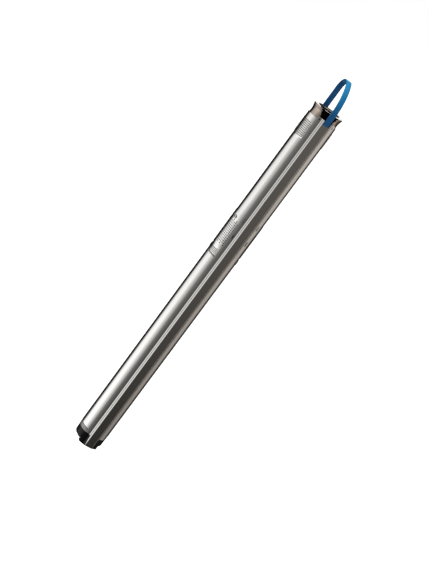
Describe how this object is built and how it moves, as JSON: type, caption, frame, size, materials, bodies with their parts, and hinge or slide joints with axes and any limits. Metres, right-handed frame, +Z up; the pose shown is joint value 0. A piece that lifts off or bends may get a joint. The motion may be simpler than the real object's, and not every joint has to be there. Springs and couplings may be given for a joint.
{
  "type": "borehole submersible pump",
  "caption": "Slim vertical submersible pump with a threaded discharge head, strainer sleeve, canned motor, folded cable guard and a carrying strap over the port.",
  "frame": {"origin": "centre of the discharge port's mouth, on the pump's axis, in the plane of the head's rim", "axes": "+Z up along the pump's axis, out of the discharge port; -Y towards the cable guard"},
  "size_m": [0.0692, 0.0757, 0.9524],
  "materials": {
    "cast_head": "precision-cast stainless steel with a warm tint, satin, machined rim",
    "polished_tube": "drawn stainless steel tube, lightly brushed along its length",
    "guard_sheet": "folded stainless steel strip, cold rolled",
    "machined_steel": "machined stainless steel",
    "shield_steel": "cast stainless steel, machined at its fits",
    "shaft_steel": "ground stainless steel",
    "strap_plastic": "moulded blue polyamide, satin",
    "cap_plastic": "moulded black glass-filled polyamide, matt",
    "stage_plastic": "black glass-filled polyamide",
    "impeller_plastic": "dark grey glass-filled polyamide",
    "wear_ring": "pale low-friction polymer",
    "black_rubber": "black nitrile rubber",
    "socket_plastic": "black moulded socket",
    "bearing_ceramic": "polished sintered carbide and carbon",
    "electrical_steel": "stacked electrical steel",
    "can_steel": "thin drawn stainless steel",
    "copper_winding": "enamelled copper wire",
    "board_laminate": "green glass-epoxy laminate",
    "capacitor_can": "drawn aluminium cans"
  },
  "bodies": {
    "housing": {"discharge_head": "cast_head", "pump_sleeve": "polished_tube", "motor_sleeve": "polished_tube", "cable_guard": "guard_sheet", "sleeve_lock_screw": "machined_steel", "strap_rivet": "machined_steel", "filling_screw": "machined_steel", "motor_top_shield": "shield_steel", "motor_bottom_shield": "shield_steel", "suction_interconnector": "shield_steel", "thrust_bearing_carrier": "shield_steel", "carrying_strap": "strap_plastic", "motor_end_cap": "cap_plastic", "chamber_1": "stage_plastic", "chamber_2": "stage_plastic", "chamber_3": "stage_plastic", "chamber_4": "stage_plastic", "chamber_5": "stage_plastic", "chamber_6": "stage_plastic", "top_chamber": "stage_plastic", "valve_seat": "stage_plastic", "valve_guide": "stage_plastic", "neck_ring_1": "wear_ring", "neck_ring_2": "wear_ring", "neck_ring_3": "wear_ring", "neck_ring_4": "wear_ring", "neck_ring_5": "wear_ring", "neck_ring_6": "wear_ring", "head_o_ring": "black_rubber", "shaft_seal": "black_rubber", "diaphragm": "black_rubber", "cable_socket": "socket_plastic", "top_bearing": "bearing_ceramic", "upper_bearing": "bearing_ceramic", "lower_bearing": "bearing_ceramic", "thrust_bearing_pads": "bearing_ceramic", "stator_core": "electrical_steel", "stator_can": "can_steel", "electronics_housing": "can_steel", "stator_winding": "copper_winding", "control_board": "board_laminate", "capacitors": "capacitor_can"},
    "rotor": {"motor_shaft": "shaft_steel", "rotor_core": "electrical_steel", "thrust_disc": "bearing_ceramic", "shaft_coupling": "shaft_steel", "pump_shaft": "shaft_steel", "impeller_1": "impeller_plastic", "impeller_2": "impeller_plastic", "impeller_3": "impeller_plastic", "impeller_4": "impeller_plastic", "impeller_5": "impeller_plastic", "impeller_6": "impeller_plastic", "shaft_spacers": "shaft_steel", "shaft_nut": "machined_steel"},
    "valve": {"valve_cone": "machined_steel", "valve_seal_ring": "black_rubber", "valve_spring": "machined_steel"}
  },
  "joints": [
    {"name": "rotor_spin", "type": "hinge", "parent": "housing", "child": "rotor", "pos_m": [0, 0, -0.35], "axis": [0, 0, 1], "continuous": true},
    {"name": "valve_lift", "type": "slide", "parent": "housing", "child": "valve", "axis": [0, 0, 1], "range_m": [0, 0.005], "stiffness_N_per_m": 60, "springref_m": -0.005, "deforming": ["valve_spring"]}
  ]
}
